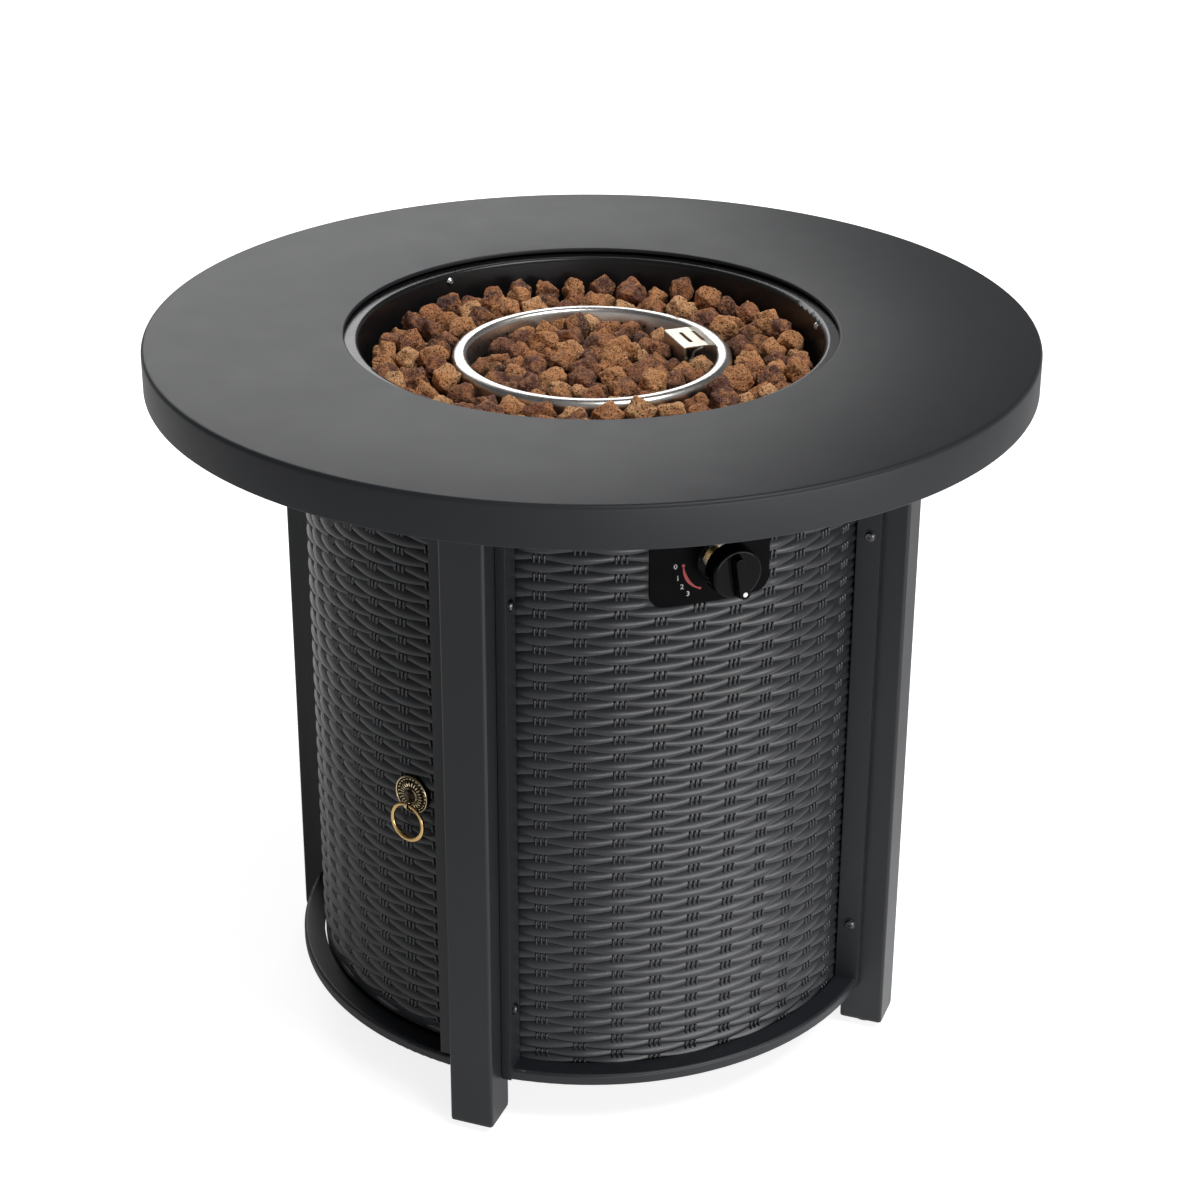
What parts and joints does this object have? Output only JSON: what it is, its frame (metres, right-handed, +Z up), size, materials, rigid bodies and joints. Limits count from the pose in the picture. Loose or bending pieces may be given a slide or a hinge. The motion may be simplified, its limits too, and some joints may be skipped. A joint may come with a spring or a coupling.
{
  "type": "gas fire pit table",
  "caption": "Round steel gas fire pit table on square legs, with a recessed ring burner in lava rock, woven-pattern side panels, a hinged cupboard door and a push-and-turn gas knob.",
  "frame": {"origin": "on the floor under the centre of the round table", "axes": "+Z up; -Y is the control side, where the knob is; -X is the door side"},
  "size_m": [0.762, 0.762, 0.637],
  "materials": {
    "top_paint": "satin textured powder coat",
    "frame_paint": "satin powder coat",
    "weave_paint": "satin powder coat on a pressed weave",
    "under_paint": "matt powder coat",
    "bowl_enamel": "gloss black enamel",
    "burner_steel": "brushed and polished stainless",
    "hood_steel": "brushed stainless",
    "screw_black": "black oxide",
    "screw_steel": "zinc plate",
    "lava_stone": "porous red-brown volcanic rock, dull",
    "foot_plastic": "moulded",
    "plate_black": "satin print",
    "knob_plastic": "gloss",
    "brass": "machined",
    "antique_brass": "antique, worn bright on the high spots",
    "valve_metal": "die cast",
    "ceramic": "glazed ceramic",
    "sensor_steel": "machined",
    "lead_rubber": "silicone",
    "lead_copper": "bare copper",
    "magnet_plastic": "moulded"
  },
  "bodies": {
    "frame": {"tabletop": "top_paint", "leg_front_left": "frame_paint", "leg_front_right": "frame_paint", "leg_back_right": "frame_paint", "leg_back_left": "frame_paint", "front_panel_frame": "frame_paint", "right_panel_frame": "frame_paint", "back_panel_frame": "frame_paint", "door_sill": "frame_paint", "door_header": "frame_paint", "hinge_leaves_fixed": "frame_paint", "front_panel": "weave_paint", "right_panel": "weave_paint", "back_panel": "weave_paint", "top_ring": "under_paint", "table_ribs": "under_paint", "bowl_hanger_ring": "under_paint", "leg_brackets": "under_paint", "base_brackets": "under_paint", "base_plate": "under_paint", "tank_ring": "under_paint", "bowl_brackets": "under_paint", "valve_bracket": "under_paint", "fire_bowl": "bowl_enamel", "burner_ring": "burner_steel", "burner_feed_pipe": "burner_steel", "pilot_shield": "hood_steel", "heat_shield": "hood_steel", "heat_shield_standoffs": "hood_steel", "panel_screws": "screw_black", "bracket_screws": "screw_black", "bowl_screws": "screw_steel", "hinge_pins": "screw_steel", "lock_nuts": "screw_steel", "lava_rocks_inner": "lava_stone", "lava_rocks_outer": "lava_stone", "leg_end_plugs": "foot_plastic", "leg_glides": "foot_plastic", "control_plate": "plate_black", "valve_sleeve": "brass", "inlet_fitting": "brass", "orifice_fitting": "brass", "gas_valve": "valve_metal", "air_mixer": "valve_metal", "mixer_elbow": "valve_metal", "gas_tube": "valve_metal", "electrode": "ceramic", "thermocouple": "sensor_steel", "ignition_lead": "lead_rubber", "thermocouple_lead": "lead_copper", "magnet_catch": "magnet_plastic"},
    "door": {"door_panel": "weave_paint", "door_frame": "frame_paint", "hinge_leaves_door": "frame_paint", "catch_strike": "hood_steel", "pull_rosette": "antique_brass"},
    "pull": {"pull_ring": "antique_brass"},
    "push": {"stem_collar": "brass"},
    "knob": {"control_knob": "knob_plastic", "valve_stem": "valve_metal"}
  },
  "joints": [
    {"name": "door_hinge", "type": "hinge", "parent": "frame", "child": "door", "pos_m": [-0.2093, 0.17607, 0.33], "axis": [0, 0, -1], "range_deg": [0, 110]},
    {"name": "pull_swing", "type": "hinge", "parent": "door", "child": "pull", "pos_m": [-0.22565, -0.12405, 0.2859], "axis": [-0.4818, 0.8763, 0], "range_deg": [-8, 120]},
    {"name": "knob_push", "type": "slide", "parent": "frame", "child": "push", "axis": [0, 1, 0], "range_m": [0, 0.004], "stiffness_N_per_m": 600},
    {"name": "knob_turn", "type": "hinge", "parent": "push", "child": "knob", "pos_m": [-0.002, -0.26, 0.525], "axis": [0, -1, 0], "range_deg": [-100, 80]}
  ]
}
